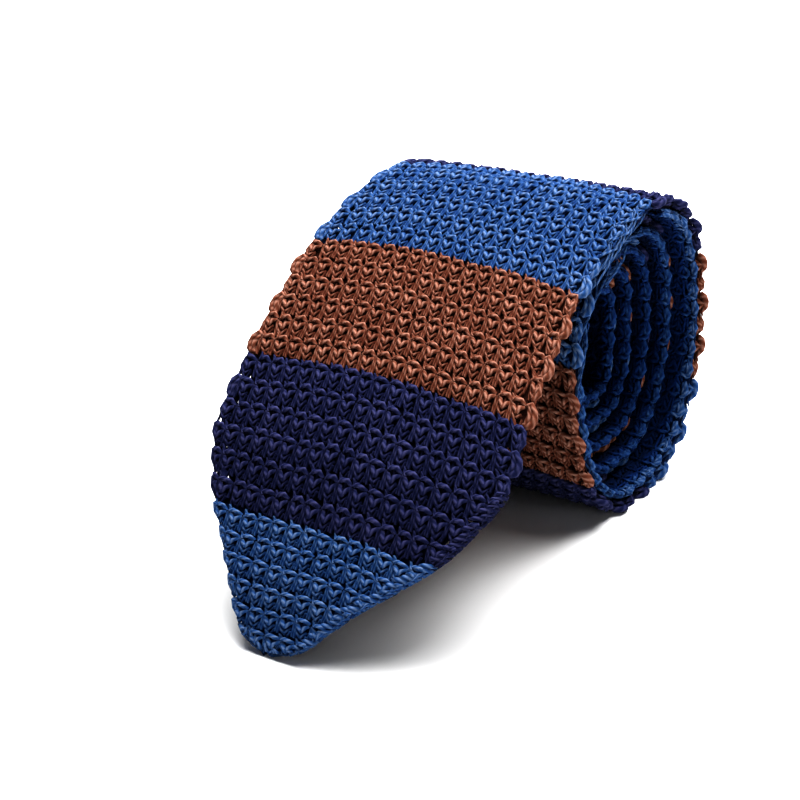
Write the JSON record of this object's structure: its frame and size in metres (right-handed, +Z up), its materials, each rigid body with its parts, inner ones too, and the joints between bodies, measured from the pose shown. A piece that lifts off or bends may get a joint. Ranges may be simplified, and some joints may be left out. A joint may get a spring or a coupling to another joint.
{
  "type": "knit tie",
  "caption": "Striped knitted necktie with a pointed blade, folded in half at the neck and rolled up, its free end sloping from the roll's crest to the ground",
  "frame": {"origin": "middle of the bounding box, at the height of the surface the tie lies on", "axes": "+X across the tie towards the roll's open end seen in the picture, +Y from the tie's tip towards the back of the roll, +Z up"},
  "size_m": [0.0694, 0.124, 0.0675],
  "materials": {
    "yarn_blue": "matt knitted yarn, mid blue",
    "yarn_navy": "matt knitted yarn, dark navy",
    "yarn_brown": "matt knitted yarn, warm brown"
  },
  "bodies": {
    "root": {"blade_tip_blue": "yarn_blue", "stripe_01_navy": "yarn_navy", "stripe_02_brown": "yarn_brown", "stripe_03_blue": "yarn_blue", "stripe_04_navy": "yarn_navy", "stripe_05_brown": "yarn_brown", "stripe_06_blue": "yarn_blue", "stripe_07_navy": "yarn_navy", "stripe_08_brown": "yarn_brown", "stripe_09_blue": "yarn_blue", "stripe_10_navy": "yarn_navy", "stripe_11_brown": "yarn_brown", "stripe_12_blue": "yarn_blue", "stripe_13_navy": "yarn_navy", "stripe_14_brown": "yarn_brown", "stripe_15_blue": "yarn_blue", "stripe_16_navy": "yarn_navy", "stripe_17_brown": "yarn_brown", "stripe_18_blue": "yarn_blue", "stripe_19_navy": "yarn_navy", "stripe_20_brown": "yarn_brown", "stripe_21_blue": "yarn_blue", "stripe_22_navy": "yarn_navy", "stripe_23_brown": "yarn_brown", "stripe_24_blue": "yarn_blue", "stripe_25_navy": "yarn_navy", "tail_blue": "yarn_blue"}
  },
  "joints": []
}
